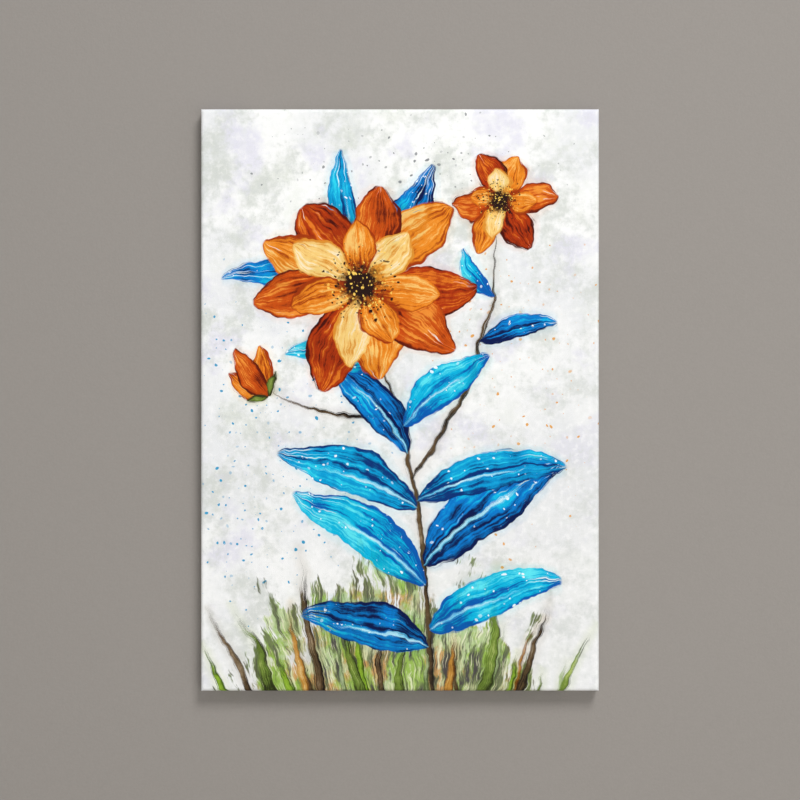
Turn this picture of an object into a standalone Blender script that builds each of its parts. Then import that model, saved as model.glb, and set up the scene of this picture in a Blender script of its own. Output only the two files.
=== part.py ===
"""A gallery-wrapped canvas picture with its stretcher frame, corner keys and hangers.

The picture faces -Y, the wall is on +Y and +Z is up, all in metres. The origin is the middle
of the picture, on the wooden back of the cross brace, which is flush with the back of the bars.
"""
import math

import bmesh
import bpy
from mathutils import Matrix, Vector

# Driving dimensions
PICTURE_WIDTH = 1.000
PICTURE_HEIGHT = 1.462
GAP = 0.0003                     # clearance left between pieces that touch

CLOTH = 0.0006                   # thickness of the primed canvas
TURNOVER = 0.028                 # cloth folded onto the back of each bar
FRONT_LAP = 0.010                # how far the side cloth reaches onto the face

BAR_DEPTH = 0.038
BAR_WIDTH = 0.044
BAR_LIP = 0.011                  # flat rim that carries the cloth
BAR_SLOPE = 0.004                # how far the face falls back behind the lip
FRONT_RADIUS = 0.007
EASED_EDGE = 0.001

BRACE_HEIGHT = 0.038
BRACE_DEPTH = 0.020
TENON_HEIGHT = 0.030
TENON_DEPTH = 0.008
TENON_LENGTH = 0.012

KEY_LENGTH = 0.034
KEY_THICKNESS = 0.004
KEY_IN_BAR = 0.0117              # how deep a key sits in its bar
KEY_TIP = 0.003                  # how far it stands out at the corner
KEY_HEAD = 0.010                 # and at its wide end
SLOT_PAST_TIP = 0.005            # slot beyond the key, towards the corner
SLOT_PAST_HEAD = 0.001
KEY_LEVELS = {"top": 0.014, "bottom": 0.014, "left": 0.024, "right": 0.024}

HANGER_SPACING = 0.500
HANGER_LENGTH = 0.070
HANGER_HEIGHT = 0.012
HANGER_STRIP = 0.0009            # sheet steel
HANGER_RISE = 0.002              # step up to the toothed middle
HANGER_MIDDLE = 0.038
HANGER_CORNER = 0.0042
HANGER_BEND = 0.0006
RAMP_LENGTH = 0.003
TOOTH_PITCH = 0.004
TOOTH_DEPTH = 0.0022
TOOTH_COUNT = 8
NAIL_SPACING = 0.056
NAIL_HOLE = 0.0014
PILOT_HOLE = 0.00135

NAIL_HEAD = 0.0026
NAIL_HEAD_DEPTH = 0.0008
NAIL_SHANK = 0.0010
NAIL_LENGTH = 0.014
NAIL_POINT = 0.002
NAIL_EASE = 0.0003

BUMPER_RADIUS = 0.006
BUMPER_INSET = 0.060             # from the picture's side edge
BUMPER_EASE = 0.0004

ARC_STEPS = 6
ROUND_STEPS = 24

# Sizes that follow from them
BAR_OUTER = CLOTH + GAP                      # wood starts this far inside the cloth
BAR_INNER = BAR_OUTER + BAR_WIDTH
BARE_STRIP = (TURNOVER + BAR_INNER) / 2      # middle of the wood left bare at the back
HANGER_LEVEL = PICTURE_HEIGHT / 2 - BARE_STRIP
FACE = BAR_DEPTH + GAP + CLOTH               # front of the cloth, forward of the wood's back
MITRE_GAP = GAP * math.sqrt(0.5)
HANGER_OUTER = GAP + HANGER_RISE + HANGER_STRIP

SIDES = {
    "top": (Vector((0, 0, -1)), PICTURE_HEIGHT / 2, PICTURE_WIDTH),
    "bottom": (Vector((0, 0, 1)), PICTURE_HEIGHT / 2, PICTURE_WIDTH),
    "left": (Vector((1, 0, 0)), PICTURE_WIDTH / 2, PICTURE_HEIGHT),
    "right": (Vector((-1, 0, 0)), PICTURE_WIDTH / 2, PICTURE_HEIGHT),
}

PINE = ((0.66, 0.46, 0.27), 0.6, 0.0)
KEY_WOOD = ((0.58, 0.40, 0.23), 0.6, 0.0)
PRINTED_CLOTH = ((0.89, 0.89, 0.87), 0.75, 0.0)
BARE_CLOTH = ((0.80, 0.78, 0.72), 0.85, 0.0)
ZINC_STEEL = ((0.60, 0.61, 0.62), 0.35, 1.0)
FELT = ((0.16, 0.16, 0.17), 0.95, 0.0)


def clear_scene():
    for item in list(bpy.data.objects):
        bpy.data.objects.remove(item, do_unlink=True)


def new_collection(name):
    collection = bpy.data.collections.new(name)
    bpy.context.scene.collection.children.link(collection)
    return collection


def rounded(corners):
    """Outline through (x, y, radius) corners, each rounded to its own radius."""
    points = []
    for index, (x, y, radius) in enumerate(corners):
        corner = Vector((x, y))
        if radius == 0:
            points.append(corner)
            continue
        before = (Vector(corners[index - 1][:2]) - corner).normalized()
        after = (Vector(corners[(index + 1) % len(corners)][:2]) - corner).normalized()
        half_angle = before.angle(after) / 2
        centre = corner + (before + after).normalized() * radius / math.sin(half_angle)
        reach = radius / math.tan(half_angle)
        start = (corner + before * reach - centre).normalized()
        end = (corner + after * reach - centre).normalized()
        for step in range(ARC_STEPS + 1):
            points.append(centre + radius * start.slerp(end, step / ARC_STEPS))
    return points


def circle(x, y, radius):
    points = []
    for step in range(ROUND_STEPS):
        angle = math.tau * step / ROUND_STEPS
        points.append(Vector((x + radius * math.cos(angle), y + radius * math.sin(angle))))
    return points


def extrusion(name, outlines, thickness):
    """Mesh object of flat outlines in local XY, centred on its thickness along local Z."""
    curve = bpy.data.curves.new(name, "CURVE")
    curve.dimensions = "2D"
    curve.fill_mode = "BOTH"
    curve.extrude = thickness / 2
    curve.render_resolution_u = 0
    for outline in outlines:
        spline = curve.splines.new("POLY")
        spline.points.add(len(outline) - 1)
        for point, place in zip(spline.points, outline):
            point.co = (place.x, place.y, 0, 1)
        spline.use_cyclic_u = True
    drawn = bpy.data.objects.new(name + "_outline", curve)
    bpy.context.scene.collection.objects.link(drawn)
    evaluated = drawn.evaluated_get(bpy.context.evaluated_depsgraph_get())
    mesh = bpy.data.meshes.new_from_object(evaluated)
    solid = bpy.data.objects.new(name, mesh)
    solid.matrix_world = drawn.matrix_world
    bpy.data.objects.remove(drawn, do_unlink=True)
    shell = bmesh.new()
    shell.from_mesh(mesh)
    bmesh.ops.remove_doubles(shell, verts=shell.verts, dist=0.00001)
    bmesh.ops.recalc_face_normals(shell, faces=shell.faces)
    shell.to_mesh(mesh)
    shell.free()
    mesh.materials.clear()
    return solid


def box(name, size):
    mesh = bpy.data.meshes.new(name)
    shape = bmesh.new()
    bmesh.ops.create_cube(shape, size=1)
    bmesh.ops.scale(shape, vec=size, verts=shape.verts)
    shape.to_mesh(mesh)
    shape.free()
    return bpy.data.objects.new(name, mesh)


def turned(name, profile):
    """A profile of (radius, height) points, top to bottom, turned about local Z."""
    mesh = bpy.data.meshes.new(name)
    edges = [(index, index + 1) for index in range(len(profile) - 1)]
    mesh.from_pydata([(radius, 0, height) for radius, height in profile], edges, [])
    piece = bpy.data.objects.new(name, mesh)
    screw = piece.modifiers.new("Turn", "SCREW")
    screw.steps = ROUND_STEPS
    screw.render_steps = ROUND_STEPS
    screw.use_merge_vertices = True
    screw.merge_threshold = 0.00001
    return piece


def keep(piece, finish, place):
    """Give a piece its finish and its place, and file it with the parts."""
    colour, roughness, metallic = finish
    material = bpy.data.materials.new(piece.name)
    material.use_nodes = True
    shader = material.node_tree.nodes["Principled BSDF"]
    shader.inputs["Base Color"].default_value = (*colour, 1)
    shader.inputs["Roughness"].default_value = roughness
    shader.inputs["Metallic"].default_value = metallic
    piece.data.materials.append(material)
    piece.parent = middle
    piece.matrix_basis = place
    parts.objects.link(piece)
    return piece


def cut(piece, cutter, place, operation="DIFFERENCE"):
    """Let a cutter, placed in the piece's own frame, work on the piece."""
    cutter.parent = piece
    cutter.matrix_basis = place
    cutter.hide_render = True
    cutter.display_type = "WIRE"
    cutters.objects.link(cutter)
    boolean = piece.modifiers.new(cutter.name, "BOOLEAN")
    boolean.operation = operation
    boolean.object = cutter


def side_frame(side):
    """Frame of one side: X inward from the cloth's edge, Y to the front, Z along the side."""
    inward, reach, length = SIDES[side]
    front = Vector((0, -1, 0))
    axes = Matrix((inward, front, inward.cross(front))).transposed()
    return Matrix.Translation(-inward * reach) @ axes.to_4x4()


def mitre(piece, side):
    """Cut both ends of a side's strip or bar at 45 degrees, by its distance inward."""
    half_length = SIDES[side][2] / 2
    for vertex in piece.data.vertices:
        end = half_length - vertex.co.x - MITRE_GAP
        vertex.co.z = math.copysign(end, vertex.co.z)


def make_bar(side):
    """Pine bar: rounded outer corner, lip under the cloth, and a face that falls back."""
    outline = rounded([
        (BAR_OUTER, 0, EASED_EDGE),
        (BAR_OUTER, BAR_DEPTH, FRONT_RADIUS),
        (BAR_OUTER + BAR_LIP, BAR_DEPTH, 0),
        (BAR_INNER, BAR_DEPTH - BAR_SLOPE, EASED_EDGE),
        (BAR_INNER, 0, EASED_EDGE),
    ])
    bar = extrusion("bar_" + side, [outline], SIDES[side][2])
    mitre(bar, side)
    return keep(bar, PINE, side_frame(side))


def neighbour(side, end):
    """The side met at the -Z or +Z end of a side's own frame."""
    along = SIDES[side][0].cross(Vector((0, -1, 0))) * end
    return next(name for name, (inward, _, _) in SIDES.items() if inward.dot(along) < -0.5)


def key_end(side):
    """Where a key's tip stops, along its side: just short of the neighbouring bar."""
    return SIDES[side][2] / 2 - BAR_INNER - 2 * GAP


def cut_key_slots(bar, side):
    """A slot at each end of the bar's inner edge, open towards the corner."""
    length = KEY_LENGTH + SLOT_PAST_TIP + SLOT_PAST_HEAD
    depth = KEY_IN_BAR + GAP
    for end in (-1, 1):
        size = (2 * depth, KEY_THICKNESS + 2 * GAP, length)
        slot = box(f"slot_{side}_{neighbour(side, end)}", size)
        middle_z = key_end(side) + SLOT_PAST_TIP - length / 2
        cut(bar, slot, Matrix.Translation((BAR_INNER, KEY_LEVELS[side], end * middle_z)))


def make_keys(side):
    """Two wedges for one bar, wide end away from the corner, straight edge in the slot."""
    near = key_end(side)
    inside = BAR_INNER - KEY_IN_BAR
    for end in (-1, 1):
        outline = rounded([
            (inside, end * near, EASED_EDGE),
            (BAR_INNER + KEY_TIP, end * near, EASED_EDGE),
            (BAR_INNER + KEY_HEAD, end * (near - KEY_LENGTH), EASED_EDGE),
            (inside, end * (near - KEY_LENGTH), EASED_EDGE),
        ])
        key = extrusion(f"key_{side}_{neighbour(side, end)}", [outline], KEY_THICKNESS)
        lie_flat = Matrix.Translation((0, KEY_LEVELS[side], 0)) @ Matrix.Rotation(math.pi / 2, 4, "X")
        keep(key, KEY_WOOD, side_frame(side) @ lie_flat)


def make_brace(bar_left, bar_right):
    """Cross brace at mid height, flush with the back, tenoned into the side bars."""
    span = PICTURE_WIDTH - 2 * BAR_INNER - 2 * GAP
    brace = box("brace_middle", (span, BRACE_DEPTH, BRACE_HEIGHT))
    eased = brace.modifiers.new("Eased edges", "BEVEL")
    eased.width = EASED_EDGE
    eased.segments = 2
    keep(brace, PINE, Matrix.Translation((0, -BRACE_DEPTH / 2, 0)))
    tenon = box("tenon", (span + 2 * TENON_LENGTH, TENON_DEPTH, TENON_HEIGHT))
    cut(brace, tenon, Matrix.Identity(4), "UNION")
    for bar in (bar_left, bar_right):
        mortise_size = (2 * (TENON_LENGTH + 2 * GAP), TENON_DEPTH + 2 * GAP, TENON_HEIGHT + 2 * GAP)
        mortise = box("mortise_" + bar.name, mortise_size)
        cut(bar, mortise, Matrix.Translation((BAR_INNER, BRACE_DEPTH / 2, 0)))


def make_face_cloth():
    width = PICTURE_WIDTH - 2 * (FRONT_LAP + GAP)
    height = PICTURE_HEIGHT - 2 * (FRONT_LAP + GAP)
    face = box("canvas_front", (width, CLOTH, height))
    keep(face, PRINTED_CLOTH, Matrix.Translation((0, CLOTH / 2 - FACE, 0)))


def make_side_cloth(side):
    """Cloth down one side of the frame, rounded over the bar's front corner."""
    back = -GAP - CLOTH
    radius = FRONT_RADIUS + GAP + CLOTH
    outline = rounded([
        (0, back, 0),
        (0, FACE, radius),
        (FRONT_LAP, FACE, 0),
        (FRONT_LAP, FACE - CLOTH, 0),
        (CLOTH, FACE - CLOTH, radius - CLOTH),
        (CLOTH, back, 0),
    ])
    cloth = extrusion("canvas_side_" + side, [outline], SIDES[side][2])
    mitre(cloth, side)
    keep(cloth, PRINTED_CLOTH, side_frame(side))


def make_turned_cloth(side):
    """Cloth folded onto the back of a bar, where it is stapled."""
    outline = rounded([
        (CLOTH + GAP, -GAP - CLOTH, 0),
        (CLOTH + GAP, -GAP, 0),
        (TURNOVER, -GAP, 0),
        (TURNOVER, -GAP - CLOTH, 0),
    ])
    cloth = extrusion("canvas_turnover_" + side, [outline], SIDES[side][2])
    mitre(cloth, side)
    keep(cloth, BARE_CLOTH, side_frame(side))


def hanger_plan():
    """Plan of a hanger: round ends, teeth along the lower edge and two nail holes."""
    half_length = HANGER_LENGTH / 2
    half_height = HANGER_HEIGHT / 2
    corners = [(-half_length, half_height, HANGER_CORNER), (-half_length, -half_height, HANGER_CORNER)]
    first = -TOOTH_PITCH * TOOTH_COUNT / 2
    for tooth in range(TOOTH_COUNT):
        left = first + tooth * TOOTH_PITCH
        corners.append((left, -half_height, 0))
        corners.append((left + TOOTH_PITCH / 2, -half_height + TOOTH_DEPTH, 0))
    corners.append((-first, -half_height, 0))
    corners.append((half_length, -half_height, HANGER_CORNER))
    corners.append((half_length, half_height, HANGER_CORNER))
    holes = [circle(side * NAIL_SPACING / 2, 0, NAIL_HOLE) for side in (-1, 1)]
    return [rounded(corners)] + holes


def hanger_section():
    """Long section of a hanger: flat feet and a raised middle, bent from one strip."""
    shift = HANGER_STRIP * math.tan(math.atan(HANGER_RISE / RAMP_LENGTH) / 2)
    half_length = HANGER_LENGTH / 2
    raised = HANGER_MIDDLE / 2
    foot = raised + RAMP_LENGTH
    under = [(-half_length, 0, 0), (-foot, 0, HANGER_BEND), (-raised, HANGER_RISE, HANGER_BEND),
             (raised, HANGER_RISE, HANGER_BEND), (foot, 0, HANGER_BEND), (half_length, 0, 0)]
    over = []
    for x, y, radius in reversed(under):
        moved = x + math.copysign(shift, x) if radius else x
        over.append((moved, y + HANGER_STRIP, radius))
    return rounded(under + over)


def make_hanger(name, x):
    hanger = extrusion(name, [hanger_section()], 2 * HANGER_HEIGHT)
    keep(hanger, ZINC_STEEL, Matrix.Translation((x, GAP, HANGER_LEVEL)))
    plan = extrusion(name + "_plan", hanger_plan(), HANGER_HEIGHT)
    cut(hanger, plan, Matrix.Rotation(math.pi / 2, 4, "X"), "INTERSECT")


def make_nail(name, x):
    """Flat-headed nail through a hanger's foot into the top bar."""
    profile = [
        (0, NAIL_HEAD_DEPTH),
        (NAIL_HEAD - NAIL_EASE, NAIL_HEAD_DEPTH),
        (NAIL_HEAD, NAIL_HEAD_DEPTH / 2),
        (NAIL_HEAD, 0),
        (NAIL_SHANK, 0),
        (NAIL_SHANK, NAIL_POINT - NAIL_LENGTH),
        (0, -NAIL_LENGTH),
    ]
    seat = HANGER_STRIP + 2 * GAP
    place = Matrix.Translation((x, seat, HANGER_LEVEL)) @ Matrix.Rotation(-math.pi / 2, 4, "X")
    keep(turned(name, profile), ZINC_STEEL, place)


def cut_pilot_hole(bar, name, x):
    pilot = extrusion(name, [circle(0, 0, PILOT_HOLE)], 2 * NAIL_LENGTH)
    along = SIDES["top"][0].cross(Vector((0, -1, 0))).x * x
    place = Matrix.Translation((BARE_STRIP, 0, along)) @ Matrix.Rotation(math.pi / 2, 4, "X")
    cut(bar, pilot, place)


def make_bumper(name, x):
    """Felt disc that keeps the lower edge off the wall, level with the hangers."""
    height = HANGER_OUTER - GAP
    profile = [
        (0, height),
        (BUMPER_RADIUS - BUMPER_EASE, height),
        (BUMPER_RADIUS, height - BUMPER_EASE),
        (BUMPER_RADIUS, 0),
        (0, 0),
    ]
    place = Matrix.Translation((x, GAP, -HANGER_LEVEL)) @ Matrix.Rotation(-math.pi / 2, 4, "X")
    keep(turned(name, profile), FELT, place)


clear_scene()
parts = new_collection("canvas_print")
cutters = new_collection("cutters")
middle = bpy.data.objects.new("picture_middle", None)
parts.objects.link(middle)

bars = {side: make_bar(side) for side in SIDES}
for side, bar in bars.items():
    cut_key_slots(bar, side)
    make_keys(side)
    make_side_cloth(side)
    make_turned_cloth(side)
make_brace(bars["left"], bars["right"])
make_face_cloth()

for side, sign in (("left", -1), ("right", 1)):
    hanger_x = sign * HANGER_SPACING / 2
    make_hanger("hanger_" + side, hanger_x)
    make_bumper("bumper_" + side, sign * (PICTURE_WIDTH / 2 - BUMPER_INSET))
    for foot, offset in (("outer", sign), ("inner", -sign)):
        nail_x = hanger_x + offset * NAIL_SPACING / 2
        make_nail(f"nail_{side}_{foot}", nail_x)
        cut_pilot_hole(bars["top"], f"pilot_{side}_{foot}", nail_x)
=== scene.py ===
"""The looks of a stretched canvas picture: printed cloth on a pine frame, hung on a wall."""
import math
import random

import bmesh
import bpy
from bmesh.types import BMEdge, BMFace, BMVert
from mathutils import Matrix, Vector


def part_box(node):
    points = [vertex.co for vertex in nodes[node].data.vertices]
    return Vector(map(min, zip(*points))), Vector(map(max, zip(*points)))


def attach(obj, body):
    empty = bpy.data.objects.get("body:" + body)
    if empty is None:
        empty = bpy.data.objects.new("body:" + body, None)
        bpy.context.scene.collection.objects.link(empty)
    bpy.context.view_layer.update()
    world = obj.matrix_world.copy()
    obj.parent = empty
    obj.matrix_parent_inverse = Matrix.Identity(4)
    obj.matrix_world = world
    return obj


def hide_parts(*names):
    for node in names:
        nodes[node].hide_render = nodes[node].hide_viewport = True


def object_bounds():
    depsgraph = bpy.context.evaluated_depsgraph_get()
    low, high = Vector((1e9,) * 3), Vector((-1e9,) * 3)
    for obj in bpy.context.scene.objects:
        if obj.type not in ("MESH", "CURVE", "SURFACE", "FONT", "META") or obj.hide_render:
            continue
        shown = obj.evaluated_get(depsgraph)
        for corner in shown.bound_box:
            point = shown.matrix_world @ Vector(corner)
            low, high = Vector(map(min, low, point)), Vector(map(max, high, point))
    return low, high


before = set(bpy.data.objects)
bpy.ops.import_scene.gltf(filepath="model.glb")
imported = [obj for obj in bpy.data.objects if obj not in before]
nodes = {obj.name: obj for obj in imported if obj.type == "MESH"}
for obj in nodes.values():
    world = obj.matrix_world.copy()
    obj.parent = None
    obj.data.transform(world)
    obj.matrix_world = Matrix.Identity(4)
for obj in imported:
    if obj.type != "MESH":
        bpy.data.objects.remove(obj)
cad_low, cad_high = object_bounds()

# -----------------------------------------------------------------------------
# Stretcher bars and cross brace. Planed pine, four bars mitred at the corners and one brace
# tenoned in between, left raw. The grain runs down each length, with rings, fibres and knots.

PINE_SLAB = {
    # piece: (axis that the grain follows, shift that gives each length its own stretch of tree)
    "bar_top": ("X", 1.7), "bar_bottom": ("X", 5.2),
    "bar_left": ("Z", 9.1), "bar_right": ("Z", 13.4),
    "brace_middle": ("X", 21.8),
}
PINE_RING_PITCH = 0.0052
PINE_KNOTS = 0.16                   # share of the likely spots that do hold a knot
PITH_BEHIND = 0.09                  # how far off the board the middle of the tree lies


class Shader:
    """Adds shader nodes to one tree. An input may be a number, a colour or another node's output."""

    def __init__(self, tree):
        self.tree = tree

    def add(self, kind, inputs=None, **settings):
        made = self.tree.nodes.new("ShaderNode" + kind)
        for name, value in settings.items():
            setattr(made, name, value)
        for key, value in (inputs or {}).items():
            self.put(made.inputs[key], value)
        return made

    def put(self, socket, value):
        if isinstance(value, bpy.types.NodeSocket):
            self.tree.links.new(value, socket)
        else:
            socket.default_value = value

    def maths(self, operation, *values, clamp=False):
        made = self.add("Math", dict(enumerate(values)), operation=operation, use_clamp=clamp)
        return made.outputs[0]

    def vectors(self, operation, *values):
        made = self.add("VectorMath", dict(enumerate(values)), operation=operation)
        return made.outputs[0]

    def join(self, x, y, z=0.0):
        return self.add("CombineXYZ", {"X": x, "Y": y, "Z": z}).outputs[0]

    def split(self, place):
        return self.add("SeparateXYZ", {"Vector": place}).outputs

    def cloud(self, place, scale, detail=2.0, roughness=0.5, flat=False, out="Fac"):
        inputs = {"Vector": place, "Scale": scale, "Detail": detail, "Roughness": roughness}
        made = self.add("TexNoise", inputs, noise_dimensions="2D" if flat else "3D")
        return made.outputs[out]

    def cells(self, place, scale):
        """Flat cells: the Distance to the nearest one's middle, and its own random Color."""
        made = self.add("TexVoronoi", {"Vector": place, "Scale": scale}, voronoi_dimensions="2D")
        return made.outputs

    def fade(self, value, low, high, at_low=0.0, at_high=1.0):
        """A value's smooth way from low to high, as a number from at_low to at_high."""
        inputs = {"Value": value, "From Min": low, "From Max": high, "To Min": at_low, "To Max": at_high}
        return self.add("MapRange", inputs, interpolation_type="SMOOTHSTEP").outputs[0]

    def stir(self, value, noise, reach):
        """A value moved up and down by noise, by half the reach each way."""
        return self.maths("MULTIPLY_ADD", self.maths("SUBTRACT", noise, 0.5), reach, value)

    def blend(self, share, under, over, how="MIX"):
        made = self.add("Mix", {"Factor": share}, data_type="RGBA", blend_type=how)
        self.put(made.inputs[6], under)
        self.put(made.inputs[7], over)
        return made.outputs[2]

    def stain(self, under, over, value, low, high, most=1.0):
        """One colour over another, where a value goes from low to high."""
        return self.blend(self.fade(value, low, high, 0.0, most), under, over)

    def bump(self, height, depth):
        return self.add("Bump", {"Height": height, "Strength": 1.0, "Distance": depth}).outputs[0]


def ink(red, green, blue):
    """A display colour, 0 to 255, as the linear colour that a shader takes."""
    linear = [((part / 255 + 0.055) / 1.055) ** 2.4 for part in (red, green, blue)]
    return (*linear, 1.0)


def finish(name, roughness, metallic=0.0, specular=0.5):
    """A new material, its shader helper and its Principled node."""
    material = bpy.data.materials.new(name)
    material.use_nodes = True
    body = material.node_tree.nodes["Principled BSDF"]
    body.inputs["Roughness"].default_value = roughness
    body.inputs["Metallic"].default_value = metallic
    body.inputs["Specular IOR Level"].default_value = specular
    return material, Shader(material.node_tree), body


def dress(piece, *materials):
    if piece.data.materials:
        piece.data.materials.clear()
    for material in materials:
        piece.data.materials.append(material)


def soften(piece, width):
    """Eases every sharp edge of a piece, as tools or folding leave it."""
    joined = piece.modifiers.new("Join", "WELD")
    joined.merge_threshold = 0.00001
    eased = piece.modifiers.new("Ease", "BEVEL")
    eased.width = width
    eased.segments = 2
    eased.limit_method = "ANGLE"
    eased.harden_normals = True


def sawn_wood(name, grain, shift, pale, late, ring_pitch, knots):
    """Raw planed wood, its rings cut by a plane that lies off the middle of the tree."""
    material, s, body = finish(name, 0.62, specular=0.35)
    x, y, z = s.split(s.add("TexCoord").outputs["Object"])
    along, across = (x, z) if grain == "X" else (z, x)

    def scaled(lengthwise, crosswise):
        """The place in the wood, scaled along the grain and across it."""
        return s.join(s.maths("MULTIPLY_ADD", along, lengthwise, shift),
                      s.maths("MULTIPLY", across, crosswise), s.maths("MULTIPLY", y, crosswise))

    sway = s.cloud(scaled(1.6, 9.0), 1.0, 3.0, 0.55)
    # a knot pulls the rings round it
    knot = s.cells(scaled(7.0, 9.0), 1.0)
    is_knot = s.maths("GREATER_THAN", s.split(knot["Color"])[0], 1.0 - knots)
    pull = s.maths("MULTIPLY", s.fade(knot["Distance"], 0.0, 0.22, 1.0, 0.0), is_knot)
    offset = s.maths("POWER", s.stir(s.maths("ADD", across, shift), sway, 0.05), 2.0)
    behind = s.maths("POWER", s.maths("ADD", y, PITH_BEHIND), 2.0)
    radius = s.maths("SQRT", s.maths("ADD", offset, behind))
    turns = s.maths("DIVIDE", s.maths("MULTIPLY_ADD", pull, 0.012, radius), ring_pitch)
    ring = s.maths("POWER", s.maths("FRACT", turns), 2.4)
    fibre = s.cloud(scaled(14.0, 900.0), 1.0, 3.0, 0.6)
    tone = s.cloud(s.join(s.maths("ADD", along, shift), across, y), 5.0, 3.0)
    colour = s.stain(pale, s.blend(0.35, pale, late), tone, 0.3, 0.7)
    colour = s.blend(s.maths("MULTIPLY", ring, 0.62), colour, late)
    colour = s.stain(colour, ink(236, 208, 160), fibre, 0.35, 0.75, 0.35)
    colour = s.stain(colour, ink(150, 98, 52), fibre, 0.42, 0.28, 0.30)
    # the knot's brown core, and the dark ring of bark round it
    heart = s.stir(knot["Distance"], fibre, 0.02)
    core = s.maths("MULTIPLY", s.fade(heart, 0.035, 0.055, 1.0, 0.0), is_knot)
    colour = s.blend(s.maths("MULTIPLY", core, 0.75), colour, ink(140, 84, 44))
    bark = s.maths("MULTIPLY", s.fade(heart, 0.05, 0.058), s.fade(heart, 0.075, 0.06))
    bark = s.maths("MULTIPLY", bark, is_knot)
    colour = s.blend(s.maths("MULTIPLY", bark, 0.5), colour, ink(92, 52, 26))
    s.put(body.inputs["Base Color"], colour)
    s.put(body.inputs["Roughness"], s.fade(fibre, 0.2, 0.8, 0.52, 0.74))
    s.put(body.inputs["Normal"], s.bump(s.maths("MULTIPLY_ADD", ring, 0.5, fibre), 0.00012))
    return material


PINE_PALE = ink(226, 194, 146)
PINE_LATE = ink(192, 138, 82)
for name, (grain, shift) in PINE_SLAB.items():
    pine = sawn_wood("pine_" + name, grain, shift, PINE_PALE, PINE_LATE, PINE_RING_PITCH, PINE_KNOTS)
    dress(nodes[name], pine)
    soften(nodes[name], width=0.0006)

# -----------------------------------------------------------------------------
# Corner keys. Thin wedges split from a harder, browner wood, two to a corner, tapped into the
# slots of the bars to tighten the cloth.

KEY_RING_PITCH = 0.0024
KEY_PALE = ink(206, 166, 118)
KEY_LATE = ink(158, 108, 66)
for name in nodes:
    if name.startswith("key_"):
        grain = "X" if name.split("_")[1] in ("top", "bottom") else "Z"
        # a place in the wood that differs from key to key
        shift = 3.0 + 2.3 * len(name) + ord(name[4]) % 7
        wedge = sawn_wood("wedge_" + name, grain, shift, KEY_PALE, KEY_LATE, KEY_RING_PITCH, knots=0.0)
        dress(nodes[name], wedge)
        soften(nodes[name], width=0.0003)

# -----------------------------------------------------------------------------
# Canvas. One sheet of primed cotton, printed first and then pulled over the bars: flat on the
# front, round the lip, down the sides and turned in over the back, where it ends in a cut edge.

HALF_WIDTH = cad_high.x
HALF_HEIGHT = cad_high.z
FACE_Y = cad_low.y
BACK_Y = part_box("canvas_turnover_top")[1].y
TURNED_IN = HALF_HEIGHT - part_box("canvas_turnover_top")[0].z
EDGE_RADIUS = 0.0079                # over the front edge of the bars
CREASE_RADIUS = 0.0012              # over their back edge
CLOTH_THICKNESS = 0.00045
FLAT_X = HALF_WIDTH - EDGE_RADIUS
FLAT_Z = HALF_HEIGHT - EDGE_RADIUS
SIDE_START = EDGE_RADIUS * math.pi / 2
SIDE_END = SIDE_START + (BACK_Y - FACE_Y) - EDGE_RADIUS - CREASE_RADIUS
BACK_START = SIDE_END + CREASE_RADIUS * math.pi / 2
CUT_HALF_WIDTH = FLAT_X + BACK_START + TURNED_IN - CREASE_RADIUS
CUT_HALF_HEIGHT = FLAT_Z + BACK_START + TURNED_IN - CREASE_RADIUS
HOLLOW = 0.0009                     # how far the middle of the face gives
PULL = 0.00028                      # height of the pull lines out of the corners
PULL_REACH = 0.11                   # they fade out over this far
PLY = 0.0008                        # how far the folded plies lift the cloth at a corner


def wrap_rings():
    """Where the cloth goes past the flat face: (outset, y, distance along the cloth)."""
    for step in range(1, 6):
        turn = step / 5 * math.pi / 2
        yield (EDGE_RADIUS * math.sin(turn), FACE_Y + EDGE_RADIUS * (1 - math.cos(turn)),
               EDGE_RADIUS * turn)
    side = SIDE_END - SIDE_START
    for step in range(1, 8):
        down = side * step / 7
        yield EDGE_RADIUS, FACE_Y + EDGE_RADIUS + down, SIDE_START + down
    for step in range(1, 4):
        turn = step / 3 * math.pi / 2
        inset = CREASE_RADIUS * (1 - math.cos(turn))
        yield (EDGE_RADIUS - inset, BACK_Y - CREASE_RADIUS * (1 - math.sin(turn)),
               SIDE_END + CREASE_RADIUS * turn)
    back = TURNED_IN - CREASE_RADIUS
    for step in range(1, 6):
        inward = back * step / 5
        yield EDGE_RADIUS - CREASE_RADIUS - inward, BACK_Y, BACK_START + inward


def face_relief(x, z):
    """How far the stretched face gives: a shallow hollow, and pull lines out of the corners."""
    u, v = x / FLAT_X, z / FLAT_Z
    hollow = HOLLOW * (1 - u ** 4) * (1 - v ** 4)
    to_side, to_end = FLAT_X - abs(x), FLAT_Z - abs(z)
    away = math.hypot(to_side, to_end)
    line = math.sin(9 * math.atan2(to_end, to_side)) * math.exp(-away / PULL_REACH)
    rim = min(to_side, to_end, 0.03) / 0.03
    return hollow + PULL * line * rim


def corner_lift(spot, reach):
    """The plies of a corner fold lie under the cloth of the top and bottom sides."""
    if reach < SIDE_START or abs(spot.x) / HALF_WIDTH < 0.8 or abs(spot.z) < FLAT_Z - TURNED_IN:
        return 0.0
    if FLAT_Z - abs(spot.z) > FLAT_X - abs(spot.x) + 0.0001:
        return 0.0
    from_corner = HALF_WIDTH - abs(spot.x)
    deep = min(reach - SIDE_START, SIDE_END - SIDE_START) + 0.004
    return PLY * max(0.0, min(1.0, (deep * 1.15 - from_corner) / 0.006))


def only(kind, geom):
    """The parts of one kind among what a bmesh operator made."""
    return [part for part in geom if isinstance(part, kind)]


def grid_spread(part):
    """Moves a place on the grid, -1 to 1, so that squares are smaller where the cloth bends."""
    return math.sin(1.38 * part) / math.sin(1.38)


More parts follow.
